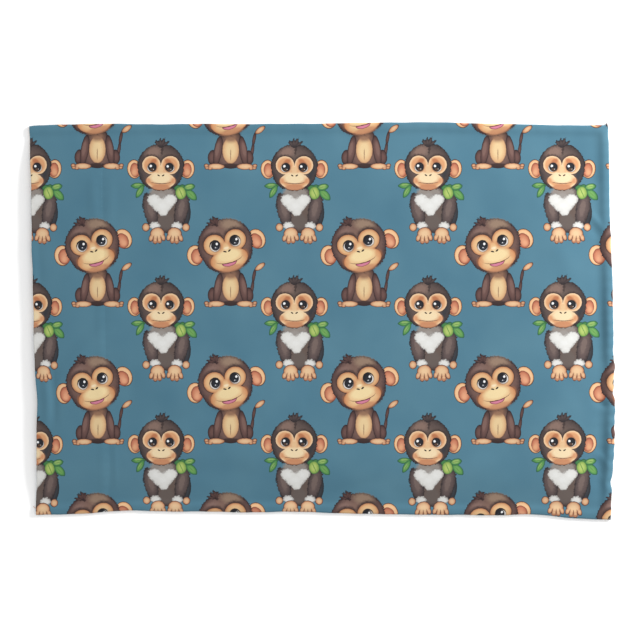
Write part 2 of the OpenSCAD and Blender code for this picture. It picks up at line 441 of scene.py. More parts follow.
# The one that leans its head. x is measured from between its feet, y from under them.
# On "sides" a shape shows on both sides of the middle; on "face" too, about the head's own middle.
LEANER = [
    ("tail", "plain", LIMB, [(29.0, 27, 2.3, 11, -9), (31.4, 43, 2.3, 9.5, -9)], {"melt": 2}),
    ("tail tip", "plain", PAW, [(39.2, 54.8, 8.4, 3.7, 36)], {}),
    ("hips", "sides", LIMB, [(24.4, 18.5, 5.6, 9.8, 6)], {}),
    ("body", "sides", CHESTNUT, [(0, 38, 15.0, 20, 0), (0, 18, 20.5, 14.5, 0)], {"melt": 5}),
    ("chest shade", "sides", soft("#3A2A2A", 0.8, 5), [(0, 48, 15, 9, 0)], {}),
    ("belly", "sides", TAN_BELLY, [(0, 27.8, 11.6, 18.8, 0)], {}),
    ("belly top", "sides", soft("#8D6853", 0.9, 6), [(0, 45.5, 12, 9.5, 0)], {}),
    ("belly line", "sides", soft("#8F6A50", 0.8, 0.5), [(0, 21.5, 0.7, 8.5, 0)], {}),
    ("arms", "sides", LIMB, [(16.6, 27, 5.5, 20.5, 9)], {}),
    ("arm light", "sides", soft("#82645C", 0.75, 2.5), [(17.4, 29, 3.2, 12, 9)], {}),
    ("under", "sides", soft("#2E2020", 0.8, 2.5), [(0, 7.5, 14, 3.6, 0)], {}),
    ("feet", "sides", PAW, [
        (19, 6.4, 12.2, 4.2, 0), (31.8, 7.4, 3.4, 2.9, 0), (31.0, 4.6, 3.4, 2.5, 0),
        (26.6, 4.0, 3.6, 2.6, 0),
    ], {}),
    ("toes", "sides", soft("#8A5B45", 0.9, 0.5), [
        (28.6, 6.0, 0.6, 2.6, 18), (31.4, 6.0, 2.6, 0.5, 6), (24.4, 4.2, 0.5, 2.0, 14),
    ], {}),
    ("ears", "face", EAR_RIM, [(41.8, -1.2, 11.2, 13.8, 12)], {}),
    ("ear hollows", "face", EAR_HOLLOW, [(39.6, -3.2, 8.4, 10.4, 12)], {}),
    ("ear light", "face", soft("#E9A983", 0.85, 4), [(41.0, -7.0, 5.4, 5.6, 0)], {}),
    ("ear folds", "face", soft("#6E3A31", 0.9, 1.4), [
        (37.6, 1.2, 4.2, 6.2, 30),
    ], {"less": [(40.0, -0.6, 4.6, 6.4, 20)]}),
    ("head", "face fur", CHESTNUT, [(0, 3, 36.6, 33.2, 0), (0, -15, 31, 19.5, 0)], {"melt": 7}),
    ("crown light", "head fur", soft("#9C836F", 0.85, 7), [(13.5, 25.5, 18, 9.5, -24)], {}),
    ("crown rise", "head fur", soft("#8A6E66", 0.8, 7), [(-14, 20.5, 13, 9, 28)], {}),
    ("brow shade", "face fur", soft("#3F2D2C", 0.9, 4.5), [(14.3, 8.0, 18.0, 16.4, 0)], {}),
    ("jaw shade", "face fur", soft("#3F2D2C", 0.7, 5), [(0, -18.5, 30.5, 18.5, 0)], {}),
    ("tuft", "head fur", LIMB, [
        (-11.4, 33.0, 2.0, 6.0, 60), (-8.6, 35.4, 2.2, 5.8, 34), (-5.4, 36.2, 2.2, 5.8, 8),
        (-3.0, 33.6, 2.0, 6.4, -20),
    ], {"melt": 3}),
    ("mask", "face", PEACH, [
        (14.2, 5.2, 15.0, 14.4, 0), (0.6, -17.5, 25.6, 15.4, 0), (0, -2, 12, 9, 0),
    ], {"melt": 1.6}),
    ("muzzle light", "head", soft("#F2DBA8", 0.9, 5), [(0.6, -12.5, 19, 9.5, 0)], {}),
    ("chin", "face", soft("#C58B66", 0.85, 4), [(0, -29.5, 18, 5.5, 0)], {}),
    ("cheeks", "face", soft("#CC8558", 0.4, 3.5), [(22.0, -15.5, 6.0, 8, 0)], {}),
    ("bridge", "face", soft("#CF9164", 0.8, 3), [(6.0, 1.5, 3.8, 7.0, 18)], {}),
    ("sockets", "face", soft("#8D6250", 0.85, 2.4), [(13.4, 3.4, 8.8, 9.0, 0)], {}),
    ("lashes", "face", NIGHT, [(13.5, 4.4, 7.4, 7.4, 0)], {}),
    ("eye whites", "face", EYE_WHITE, [(13.9, 2.8, 6.8, 6.6, 0)], {}),
    ("irises", "face", NIGHT, [(13.1, 3.7, 5.9, 6.1, 0)], {}),
    ("iris light", "face", soft("#4A4E5A", 0.75, 1.4), [(13.1, 0.7, 3.4, 1.9, 0)], {}),
    ("glints", "head", GLINT, [
        (-10.6, 5.8, 1.7, 1.7, 0), (15.8, 5.4, 1.7, 1.7, 0), (-13.6, 1.6, 0.8, 0.8, 0),
        (12.6, 1.2, 0.8, 0.8, 0),
    ], {}),
    ("nose light", "face", soft("#F7E4C0", 0.9, 1.8), [(0, -2.6, 4.5, 2.4, 0)], {}),
    ("nostrils", "face", INK, [(3.0, -6.6, 2.5, 1.1, 26)], {}),
    ("mouth", "head", TONGUE, [(-0.8, -21.6, 10.4, 5.2, 0)], {"less": [(0, -11.4, 27, 10.8, 0)]}),
    ("smile", "head", SMILE_LINE, [(0, -14.3, 19.8, 8.5, 0)], {"less": [(0, -12.9, 20.8, 8.8, 0)]}),
]
LEANER_HEAD = (-5.5, 81.5, 15.0)

# The one that looks straight out, with sprigs at its neck and a white chest.
SITTER = [
    ("back", "plain", SLATE, [(27.5, 46, 10.2, 22, 6)], {}),
    ("side feet", "sides", PAW, [(26.2, 23.4, 5.4, 5.8, 0)], {}),
    ("body", "sides fur", DARK_FUR, [(0, 49, 27.0, 28, 0), (0, 33, 25.0, 17, 0)], {"melt": 5}),
    ("belly", "sides fur", soft("#675C57", 0.9, 5), [(0, 31, 12, 13, 0)], {}),
    ("arms", "sides fur", SLATE_LIMB, [(20.6, 46.5, 9.2, 23, -12)], {}),
    ("arm light", "sides fur", soft("#7C6A64", 0.75, 3), [(20.2, 48, 4.6, 14, -12)], {}),
    ("neck", "chest fur", soft("#958C85", 0.95, 4), [(0, 68, 18.5, 10, 0)], {}),
    ("chest", "plain fur", WHITE_FUR, [
        (-8.8, 57.8, 11.4, 8.8, -26), (9.2, 57.8, 11.4, 8.8, 26), (0.2, 51.6, 13.6, 9, 0),
        (1.8, 45.4, 7.2, 8.0, 0),
    ], {"melt": 2}),
    ("chest shade", "chest fur", soft("#9F9994", 0.7, 3), [(0, 64.5, 7, 5, 0)], {}),
    ("cuffs", "sides fur", WHITE_FUR, [(14.2, 25.4, 7.6, 5.4, 0)], {}),
    ("paws", "sides", PAW, [
        (11.3, 15.0, 9.8, 8.8, -6), (3.9, 10.6, 3.4, 5.6, -22), (8.6, 7.4, 3.3, 5.8, -8),
        (14.0, 6.8, 3.3, 5.8, 4), (19.2, 9.8, 3.3, 5.8, 22),
    ], {"melt": 0.8}),
    ("fingers", "sides", soft("#6E4533", 0.95, 0.6), [
        (6.2, 8.8, 0.7, 5.0, -14), (11.3, 7.8, 0.7, 5.4, -2), (16.6, 8.8, 0.7, 5.0, 14),
    ], {}),
    ("knuckles", "sides", soft("#B97F5E", 0.7, 1.5), [(12, 4.4, 8, 1.8, 0)], {}),
    ("back leaves", "plain", DARK_LEAF, [(20.4, 75.0, 5.2, 3.6, 20), (27.0, 75.5, 4.5, 4, 0)], {}),
    ("low leaf", "plain", LEAF, [(37.0, 64.6, 10.5, 7.2, -44)], {"within": [(39.6, 67.0, 10.5, 7.2, -44)]}),
    ("top leaf", "plain", LEAF, [(35.4, 77.6, 8.8, 6.6, 12)], {"within": [(36.2, 73.8, 8.8, 6.6, 12)]}),
    ("top leaf light", "plain", soft("#9DBB6C", 0.9, 2), [(35.6, 76.2, 6.0, 3.0, 12)], {}),
    ("big leaf", "plain", PALE_LEAF, [
        (23.4, 68.6, 9.6, 8.2, -58),
    ], {"within": [(26.2, 67.4, 9.6, 8.2, -58)]}),
    ("leaf veins", "plain", soft("#54883F", 0.9, 0.4), [
        (25.2, 67.6, 8.2, 0.5, -66), (35.8, 75.8, 6.4, 0.4, 12), (38.4, 65.6, 6.8, 0.4, -44),
    ], {}),
    ("left leaf", "plain", LEAF, [(-31.2, 75.6, 10.6, 6.0, 2)], {"within": [(-31.2, 79.4, 10.6, 6.0, 2)]}),
    ("left low leaf", "plain", LEAF, [
        (-27.2, 69.2, 10.6, 6.0, 60),
    ], {"within": [(-30.4, 71.0, 10.6, 6.0, 60)]}),
    ("left leaf light", "plain", soft("#8DB067", 0.85, 1.5), [
        (-32.0, 78.6, 6.0, 1.8, 4), (-29.6, 69.6, 6.0, 2.0, 58),
    ], {}),
    ("left veins", "plain", soft("#3B7A3E", 0.9, 0.4), [
        (-31.6, 77.4, 7.2, 0.4, 4), (-28.7, 70.0, 7.2, 0.4, 58),
    ], {}),
    ("ears", "face", EAR_RIM, [(34.8, -2.4, 9.6, 12.8, -6)], {}),
    ("ear hollows", "face", EAR_HOLLOW, [(33.8, -3.6, 6.6, 9.6, -6)], {}),
    ("ear light", "face", soft("#E3A87E", 0.9, 4), [(35.0, -7.0, 5.0, 6.0, 0)], {}),
    ("ear folds", "face", soft("#5E372E", 0.9, 1.4), [
        (31.8, 0.6, 3.8, 6.6, 14),
    ], {"less": [(33.6, -1.4, 4.0, 6.6, 10)]}),
    ("head", "face fur", DARK_FUR, [(0, 1.0, 30.8, 30.4, 0), (0, -13, 26, 17, 0)], {"melt": 6}),
    ("crown light", "head fur", soft("#8B7166", 0.85, 7), [(-10, 19.5, 15, 10, 24)], {}),
    ("dark cheek", "head fur", soft("#303339", 0.85, 5), [
        (26, -4, 9.5, 25, -8), (-27, -15, 4.5, 13, 12),
    ], {"within": [(0, 0, 29.6, 30.4, 0)]}),
    ("crown part", "head fur", soft("#352A29", 0.8, 1.6), [(1.6, 25, 1.8, 11, -4)], {}),
    ("brow shade", "face fur", soft("#392C2A", 0.85, 3.5), [(12.2, 4.4, 15.2, 14.4, 0)], {}),
    ("tuft", "head fur", SLATE_LIMB, [
        (-4.4, 31.2, 2.4, 5.4, 34), (-0.8, 32.6, 2.6, 6.2, 6), (2.8, 33.0, 2.4, 6.4, -22),
        (6.0, 31.2, 2.0, 6.2, -50),
    ], {"melt": 2.5}),
    ("mask", "face", FACE_TAN, [
        (12.3, 2.9, 13.0, 12.8, 0), (0, -17.6, 20.2, 11.2, 0), (0, -5, 9, 8, 0),
    ], {"melt": 1.6}),
    ("brows", "face", soft("#B56E48", 0.85, 3), [(9.6, 7.6, 7.2, 4.4, -34)], {}),
    ("muzzle light", "face", soft("#F3DDB4", 0.95, 4.5), [(0, -14.0, 17.0, 8.8, 0)], {}),
    ("nose bridge", "face", soft("#E9C79A", 0.8, 4), [(0, -4, 6.0, 7, 0)], {}),
    ("chin", "face", soft("#C88A64", 0.95, 2.4), [(0, -25.8, 14, 4.6, 0)], {}),
    ("cheeks", "face", soft("#D08C63", 0.7, 2.5), [(16.8, -17.6, 4, 5.2, 0)], {}),
    ("sockets", "face", soft("#7A5647", 0.9, 2.0), [(11.4, 0.0, 7.6, 7.6, 0)], {}),
    ("eye corners", "face", EYE_WHITE, [(12.6, -1.0, 5.4, 5.4, 0)], {}),
    ("eyes", "face", NIGHT, [(11.2, 0.2, 5.8, 6.0, 0)], {}),
    ("iris light", "face", soft("#5E4230", 0.9, 1.4), [(11.3, -2.9, 3.6, 2.2, 0)], {}),
    ("glints", "head", GLINT, [
        (-13.2, 1.6, 1.8, 1.8, 0), (9.0, 1.4, 1.8, 1.8, 0), (-9.6, -2.4, 0.6, 0.6, 0),
        (13.2, -2.4, 0.6, 0.6, 0),
    ], {}),
    ("nostrils", "face", INK, [(2.9, -10.5, 2.1, 0.95, 30)], {}),
    ("mouth", "face", SMILE_LINE, [(0, -18.6, 14.2, 3.0, 0)], {"less": [(0, -17.4, 15.6, 3.3, 0)]}),
]
SITTER_HEAD = (-1.3, 101.5, 0.0)

# Where each figure's feet stand on the pattern, and the middle of what both its sides share.
LEANER_AT, LEANER_MIDDLE = (-117.8, 12.3), 0.8
SITTER_AT, SITTER_MIDDLE, CHEST_MIDDLE = (-32.2, -84.0), 5.3, -0.2
# Middles are moved up by this much, so that folding a figure about its middle line leaves its heights alone.
FOLD_UP = 200.0
# How many times its own size an ellipse is felt out to.
REACH = 3.0


def ellipse_edge(tree, coords, x, y, half_w, half_h, turn, inside_out=False):
    """How near a point is to an ellipse's edge: 1 on it, less inside, over DEPTH millimetres."""
    place = {"Vector": coords, "Location": (x, y + FOLD_UP, 0), "Rotation": (0, 0, math.radians(turn))}
    wide = (REACH * half_w, REACH * half_h, 1)
    local = add(tree, "ShaderNodeMapping", {**place, "Scale": wide}, vector_type="TEXTURE").outputs[0]
    fall = add(tree, "ShaderNodeTexGradient", {0: local}, gradient_type="SPHERICAL").outputs["Fac"]
    share = math.sqrt(half_w * half_h) / DEPTH
    if inside_out:
        share = -share
    sized = {0: fall, 1: -REACH * share, 2: 1 - share + REACH * share}
    return add(tree, MATH, sized, operation="MULTIPLY_ADD").outputs[0]


def lay_ink(tree, under, coords, tone, ellipses, melt=0.0, less=(), within=()):
    """Prints one shape over what is under it."""
    edge = None
    for ellipse in ellipses:
        other = ellipse_edge(tree, coords, *ellipse)
        if edge is None:
            edge = other
        elif melt:
            edge = add(tree, MATH, {0: edge, 1: other, 2: melt / DEPTH}, operation="SMOOTH_MIN").outputs[0]
        else:
            edge = add(tree, MATH, {0: edge, 1: other}, operation="MINIMUM").outputs[0]
    for ellipse in less:
        other = ellipse_edge(tree, coords, *ellipse, inside_out=True)
        edge = add(tree, MATH, {0: edge, 1: other}, operation="MAXIMUM").outputs[0]
    for ellipse in within:
        other = ellipse_edge(tree, coords, *ellipse)
        edge = add(tree, MATH, {0: edge, 1: other}, operation="MAXIMUM").outputs[0]
    ramp = add(tree, "ShaderNodeValToRGB", {"Fac": edge})
    stops = [(1 - depth / DEPTH, colour, solid) for depth, colour, solid in tone]
    if tone[0][2]:
        stops[0] = (1 - 0.35 / DEPTH, tone[0][1], tone[0][2])
        stops.append((1.0, tone[0][1], 0))
    elements = ramp.color_ramp.elements
    stops.sort()
    for position, colour, solid in stops[1:-1]:
        made = elements.new(max(0.0, position))
        made.color = (*linear(colour)[:3], solid)
    for end, (position, colour, solid) in ((0, stops[0]), (-1, stops[-1])):
        elements[end].position = max(0.0, position)
        elements[end].color = (*linear(colour)[:3], solid)
    layers = {0: ramp.outputs["Alpha"], 6: under, 7: ramp.outputs["Color"]}
    return add(tree, "ShaderNodeMix", layers, data_type="RGBA").outputs[2]


def about(tree, coords, x, y, turn):
    """Coordinates about a figure's or a head's own middle: as they are, and with both sides the same."""
    place = {"Vector": coords, "Location": (x, y, 0), "Rotation": (0, 0, math.radians(turn))}
    turned = add(tree, "ShaderNodeMapping", place, vector_type="TEXTURE").outputs[0]
    straight = add(tree, VECTOR_MATH, {0: turned, 1: (0, FOLD_UP, 0)}, operation="ADD").outputs[0]
    return straight, add(tree, VECTOR_MATH, {0: straight}, operation="ABSOLUTE").outputs[0]


def print_figure(tree, under, cloth, at, middle, chest, head, shapes):
    """Prints one figure all over the cloth, once in each repeat."""
    low = (-REPEAT[0] / 2, -UNDER_FEET, -1)
    high = (REPEAT[0] / 2, REPEAT[1] - UNDER_FEET, 1)
    moved = add(tree, "ShaderNodeMapping", {"Vector": cloth, "Location": (-at[0], -at[1], 0)}).outputs[0]
    once = add(tree, VECTOR_MATH, {0: moved, 1: high, 2: low}, operation="WRAP").outputs[0]
    ruffle = {"Vector": once, "Scale": 0.4, "Detail": 2.0, "Roughness": 0.6}
    hairs = add(tree, "ShaderNodeTexNoise", ruffle, normalize=False)
    spaces = {}
    # Ink creeps a little at every edge, and edges of fur are drawn ruffled.
    for kind, creep in (("", 0.3), (" fur", 1.4)):
        crept = {0: hairs.outputs["Color"], 1: (creep, creep, 0), 2: once}
        coords = add(tree, VECTOR_MATH, crept, operation="MULTIPLY_ADD").outputs[0]
        spaces["plain" + kind] = about(tree, coords, 0, 0, 0)[0]
        spaces["sides" + kind] = about(tree, coords, middle, 0, 0)[1]
        spaces["chest" + kind] = about(tree, coords, chest, 0, 0)[1]
        spaces["head" + kind], spaces["face" + kind] = about(tree, coords, *head)
    for _, space, tone, ellipses, more in shapes:
        under = lay_ink(tree, under, spaces[space], tone, ellipses, **more)
    return under


def weave(tree, cloth, spacing):
    """Plain weave: threads that go over and under each other, as a height from 0 to 1."""
    turned = add(tree, "ShaderNodeMapping", {"Vector": cloth, "Scale": (math.pi / spacing,) * 3}).outputs[0]
    split = add(tree, "ShaderNodeSeparateXYZ", {0: turned})
    warp = add(tree, MATH, {0: split.outputs[0]}, operation="SINE").outputs[0]
    weft = add(tree, MATH, {0: split.outputs[1]}, operation="SINE").outputs[0]
    crossed = add(tree, MATH, {0: warp, 1: weft}, operation="MULTIPLY").outputs[0]
    return add(tree, MATH, {0: crossed, 1: 0.5, 2: 0.5}, operation="MULTIPLY_ADD").outputs[0]


def brushed_polyester_print():
    """Brushed polyester, printed on one side: flat and matt, with soft ink edges and a faint nap."""
    material, tree = start_material("brushed polyester, printed side")
    cloth = add(tree, "ShaderNodeUVMap", uv_map="pattern").outputs[0]
    # Large soft patches, some 80 mm across, darken the blue ground a little: painted shade of soft wrinkles
    # in the cloth.
    wrinkle_shade_patches = add(tree, "ShaderNodeTexNoise", {"Vector": cloth, "Scale": 0.012, "Detail": 2.0, "Roughness": 0.5})
    ground = add(tree, "ShaderNodeValToRGB", {"Fac": wrinkle_shade_patches.outputs["Fac"]})
    ground.color_ramp.elements[0].position = 0.3
    ground.color_ramp.elements[0].color = linear("#4C7A8F")
    ground.color_ramp.elements[1].position = 0.7
    ground.color_ramp.elements[1].color = linear("#568396")
    colour = ground.outputs["Color"]
    colour = print_figure(tree, colour, cloth, LEANER_AT, LEANER_MIDDLE, LEANER_MIDDLE, LEANER_HEAD, LEANER)
    colour = print_figure(tree, colour, cloth, SITTER_AT, SITTER_MIDDLE, CHEST_MIDDLE, SITTER_HEAD, SITTER)
    # The real threads are about 0.25 mm apart. They are drawn 0.9 mm apart, so that they just show.
    threads = weave(tree, cloth, 0.9)
    nap = add(tree, "ShaderNodeTexNoise", {"Vector": cloth, "Scale": 0.9, "Detail": 3.0, "Roughness": 0.6})
    # The tones above are as they look in the studio's light, and the dye itself is this much deeper.
    deep = 0.68
    flecks = {0: nap.outputs["Fac"], 1: 0.16 * deep, 2: 0.92 * deep}
    fleck = add(tree, MATH, flecks, operation="MULTIPLY_ADD").outputs[0]
    # The weave's low places are a little darker: painted shade between the threads.
    thread_shade = add(tree, MATH, {0: threads, 1: 0.05, 2: 0.975}, operation="MULTIPLY_ADD").outputs[0]
    shade = add(tree, MATH, {0: fleck, 1: thread_shade}, operation="MULTIPLY").outputs[0]
    # The print, darkened by the dye's depth, the nap's flecks and the painted shade between the threads.
    weave_shaded_print = add(tree, VECTOR_MATH, {0: colour, "Scale": shade}, operation="SCALE").outputs[0]
    relief = add(tree, MATH, {0: nap.outputs["Fac"], 1: 0.8, 2: threads}, operation="MULTIPLY_ADD").outputs[0]
    bumpy = add(tree, "ShaderNodeBump", {"Height": relief, "Strength": 0.12, "Distance": 0.0002})
    rough = add(tree, MATH, {0: nap.outputs["Fac"], 1: 0.12, 2: 0.8}, operation="MULTIPLY_ADD").outputs[0]
    finish_material(
        tree, Base_Color=weave_shaded_print, Roughness=rough, Normal=bumpy.outputs[0], IOR=1.45,
        Specular_IOR_Level=0.25, Sheen_Weight=0.12, Sheen_Roughness=0.5,
    )
    return material


def brushed_polyester_reverse():
    """The same cloth's unprinted side: a pale ground where the ink has only struck through."""
    material, tree = start_material("brushed polyester, unprinted side")
    cloth = add(tree, "ShaderNodeUVMap", uv_map="pattern").outputs[0]
    ink = add(tree, "ShaderNodeTexNoise", {"Vector": cloth, "Scale": 0.03, "Detail": 4.0, "Roughness": 0.6})
    ground = add(tree, "ShaderNodeValToRGB", {"Fac": ink.outputs["Fac"]})
    ground.color_ramp.elements[0].position = 0.35
    ground.color_ramp.elements[0].color = linear("#8FA7B3")
    ground.color_ramp.elements[1].position = 0.65
    ground.color_ramp.elements[1].color = linear("#A3B7C1")
    threads = weave(tree, cloth, 0.9)
    # The weave's low places are darker: painted shade between the threads.
    shade = add(tree, MATH, {0: threads, 1: 0.1, 2: 0.92}, operation="MULTIPLY_ADD").outputs[0]
    dyed = ground.outputs["Color"]
    weave_shaded_reverse = add(tree, VECTOR_MATH, {0: dyed, "Scale": shade}, operation="SCALE").outputs[0]
    bumpy = add(tree, "ShaderNodeBump", {"Height": threads, "Strength": 0.15, "Distance": 0.0002})
    rough = add(tree, MATH, {0: threads, 1: 0.08, 2: 0.84}, operation="MULTIPLY_ADD").outputs[0]
    finish_material(tree, Base_Color=weave_shaded_reverse, Roughness=rough, Normal=bumpy.outputs[0], Specular_IOR_Level=0.2)
    return material


def twisted_thread(name, colour, shadow, twist):
    """Spun polyester sewing thread: two plies that twist round each other, with a slight lustre."""
    material, tree = start_material(name)
    place = add(tree, "ShaderNodeTexCoord").outputs["Object"]
    wave_inputs = {"Vector": place, "Scale": 1 / (twist * MM) / 20, "Distortion": 1.5, "Detail": 1.0}
    plies = add(tree, "ShaderNodeTexWave", wave_inputs, bands_direction="DIAGONAL")
    ramp = add(tree, "ShaderNodeValToRGB", {"Fac": plies.outputs["Fac"]})
    ramp.color_ramp.elements[0].color = linear(shadow)
    ramp.color_ramp.elements[1].color = linear(colour)
    bumpy = add(tree, "ShaderNodeBump", {"Height": plies.outputs["Fac"], "Strength": 0.4, "Distance": 0.0001})
    rough = add(tree, MATH, {0: plies.outputs["Fac"], 1: -0.15, 2: 0.65}, operation="MULTIPLY_ADD").outputs[0]
    finish_material(tree, Base_Color=ramp.outputs["Color"], Roughness=rough, Normal=bumpy.outputs[0])
    return material


def satin_ribbon():
    """Polyester satin ribbon: long floats that run one way and shine across."""
    material, tree = start_material("polyester satin ribbon")
    place = add(tree, "ShaderNodeTexCoord").outputs["Object"]
    floats = {"Vector": place, "Scale": 1 / (0.5 * MM) / 20, "Distortion": 0.4, "Detail": 2.0}
    lines = add(tree, "ShaderNodeTexWave", floats, bands_direction="X")
    ramp = add(tree, "ShaderNodeValToRGB", {"Fac": lines.outputs["Fac"]})
    ramp.color_ramp.elements[0].color = linear("#D8D8D3")
    ramp.color_ramp.elements[1].color = linear("#F0F0EC")
    bumpy = add(tree, "ShaderNodeBump", {"Height": lines.outputs["Fac"], "Strength": 0.2, "Distance": 0.0001})
    rough = add(tree, MATH, {0: lines.outputs["Fac"], 1: -0.12, 2: 0.45}, operation="MULTIPLY_ADD").outputs[0]
    finish_material(tree, Base_Color=ramp.outputs["Color"], Roughness=rough, Normal=bumpy.outputs[0])
    return material


def painted_sweep():
    """The studio's matt white floor."""
    material, tree = start_material("matt white floor")
    place = add(tree, "ShaderNodeTexCoord").outputs["Object"]
    grain = add(tree, "ShaderNodeTexNoise", {"Vector": place, "Scale": 4.0, "Detail": 2.0})
    ramp = add(tree, "ShaderNodeValToRGB", {"Fac": grain.outputs["Fac"]})
    ramp.color_ramp.elements[0].color = linear("#FCFCFC")
    ramp.color_ramp.elements[1].color = linear("#FEFEFE")
    finish_material(tree, Base_Color=ramp.outputs["Color"], Roughness=1.0, Specular_IOR_Level=0.0)
    return material


PRINTED = brushed_polyester_print()
REVERSE = brushed_polyester_reverse()
SEWING_THREAD = twisted_thread("spun polyester sewing thread", "#5D8FA3", "#3C6578", 0.5)
OVERLOCK_THREAD = twisted_thread("bulked polyester overlock thread", "#7BA3B4", "#557E90", 0.9)
TAN_THREAD = twisted_thread("spun polyester thread, tan", "#C08B66", "#8E5F44", 0.5)
RIBBON = satin_ribbon()
FLOOR_PAINT = painted_sweep()


# ---------------------------------------------------------------------------
# Cloth pieces
# ---------------------------------------------------------------------------
V_FINE = across_lines(EDGE_LINES, 3.0)
V_COARSE = across_lines(COARSE_EDGE_LINES, 6.0)


def make_front():
    """The front from the hem's line to the closed end."""
    lines = along_lines(HEM_LINE, EDGE_LINES, 4.2)
    u, v = np.meshgrid(lines, V_FINE, indexing="ij")
    middle = cloth_grid(u, v, front_top(u, v) - CLOTH_T / 2)
    return shell("front_cloth", middle, print_place(u, v), PRINTED, REVERSE)


def hem_path(step):
    """Across the hem: each row's place along the pattern and its depth under the outer layer. They run
    from the turned edge along the inner layer to the fold at the mouth, and back along the outer layer."""
    fold, turn = 0.5, 0.25
    deep = 2 * fold
    edge = HEM_LINE - 0.6
    rows = [(edge - TURNED_IN + 3 * k, fold) for k in range(3)]
    for angle in (0, 60, 120, 180):
        a = math.radians(angle)
        rows.append((edge - turn + turn * math.sin(a), fold + turn * (1 - math.cos(a))))
    inner = np.linspace(edge - 2, MOUTH + fold, int(HEM_DEPTH / step))
    rows += [(u, deep) for u in inner]
    for angle in (150, 120, 90, 60, 30):
        a = math.radians(angle)
        rows.append((MOUTH + fold - fold * math.sin(a), fold * (1 - math.cos(a))))
    rows += [(MOUTH + d, 0.0) for d in (0.5, 1.2, 2.2, 3.6, 5.5, 8)]
    rows += [(u, 0.0) for u in np.linspace(MOUTH + 8 + step, HEM_LINE, int((HEM_DEPTH - 8) / step))]
    return rows


def walked(rows, start):
    """Each row's place on the printed cloth: the way back along the path from its last row, at start."""
    places = [start]
    for (u0, w0), (u1, w1) in zip(rows[:0:-1], rows[-2::-1]):
        places.append(places[-1] - math.hypot(u1 - u0, w1 - w0))
    return places[::-1]


# The mouth lifts as a lens: fully in its middle, and less and less towards the side seams, where it is sewn.
LENS_MIDDLE = 60.0
AXIS_WAY = np.array(LIFT["axis"][:2])


def straightened(u, lines):
    """Moves the grid lines so that the two where the hem's pieces meet run square to the lifting line."""
    moved = []
    for side in (-1, 1):
        edge = lines[np.argmin(np.abs(lines - side * LENS_MIDDLE))]
        x0, y0 = laid(HEM_LINE, edge)
        x1, y1 = laid(u, edge)
        moved.append((edge, -((x1 - x0) * AXIS_WAY[0] + (y1 - y0) * AXIS_WAY[1])))
    (low, low_move), (high, high_move) = moved
    return lines + np.interp(lines, [-HALF_W, low, high, HALF_W], [0, low_move, high_move, 0])


def make_front_hem():
    """The front's hem: a folded strip in three pieces, so that the mouth can open between its seams."""
    rows = hem_path(4.0)
    places = walked(rows, HEM_LINE)
    u = np.array([[row[0]] * len(V_FINE) for row in rows])
    v = np.array([straightened(max(row[0], MOUTH), V_FINE) for row in rows])
    height = front_top(u, v) - CLOTH_T / 2
    drop = np.array([[row[1]] * len(V_FINE) for row in rows])
    side = HALF_W - np.abs(v)
    inner = drop > 0.6
    tucked = np.where(inner, np.clip(0.75 - side / 4, 0, 0.75), 0)
    middle = cloth_grid(u, v, height - drop + tucked)
    pattern = print_place(np.array([[p] * len(V_FINE) for p in places]), v)
    low = int(np.argmin(np.abs(V_FINE + LENS_MIDDLE)))
    high = int(np.argmin(np.abs(V_FINE - LENS_MIDDLE)))
    parts = []
    for name, first, last in (("lower", 0, low), ("middle", low, high), ("upper", high, len(V_FINE) - 1)):
        cut = slice(first, last + 1)
        parts.append(shell("front_hem_" + name, middle[:, cut], pattern[:, cut], PRINTED, REVERSE))
    return parts, (V_FINE[low], V_FINE[high])


def make_back():
    """The back panel with its own hem, turned in over it."""
    hem = hem_path(6.0)
    flat = [(u, 0.0) for u in along_lines(HEM_LINE + 6, COARSE_EDGE_LINES, 6.0)]
    rows = hem + flat
    places = walked(rows, HALF_L)
    u = np.array([[row[0]] * len(V_COARSE) for row in rows])
    v = np.array([V_COARSE] * len(rows))
    drop = np.array([[row[1]] * len(V_COARSE) for row in rows])
    side = HALF_W - np.abs(v)
    over = np.where(drop > 0.6, 0.7 * np.clip((20 - side) / 6, 0, 1) * np.clip(side / 1.2, 0, 1), 0)
    height = back_height(np.maximum(u, MOUTH), v) + drop * np.clip(side / 1.5, 0.15, 1) + over
    middle = cloth_grid(u, v, height)
    # Turned over end for end, the back's figures stand upright too.
    pattern = np.stack([-np.array([[p] * len(V_COARSE) for p in places]) + 40, v + 30], axis=2)
    return shell("back_cloth", middle, pattern, PRINTED, REVERSE, flip=True)


STRIP_STEP = 8.0
END_ROWS = 90


def strip(name, u, v, height, thick, flip=False):
    """A strip of unprinted cloth inside the case."""
    return shell(name, cloth_grid(u, v, height), np.stack([u, v], axis=2), REVERSE, REVERSE, flip, thick)


def side_strip(name, side, start, stop, near, far, base, thick, cols=4):
    """A strip along a side seam: from and to along the case, and from and to in from the seam."""
    rows = int((stop - start) / STRIP_STEP)
    u = np.linspace(start, stop, rows)[:, None] * np.ones(cols)
    d = np.linspace(near, far, cols)[None, :] * np.ones((rows, 1))
    d = d + 0.35 * np.sin(u / 9.0) * (d > near + 0.1)
    v = side * (HALF_W - d)
    height = base + 0.12 * np.sin(u / 13.0 + d)
    return strip(name, u, v, height, thick, flip=side > 0)


def end_strip(name, near, far, base, thick, cols=4):
    """The allowances inside the closed end."""
    v = np.linspace(-HALF_W + 3, HALF_W - 3, END_ROWS)[:, None] * np.ones(cols)
    d = np.linspace(near, far, cols)[None, :] * np.ones((END_ROWS, 1))
    u = HALF_L - d
    height = base + 0.12 * np.sin(v / 11.0)
    return strip(name, u, v, height, thick)


front = make_front()
(hem_lower, hem_middle, hem_upper), (lens_low, lens_high) = make_front_hem()
back = make_back()
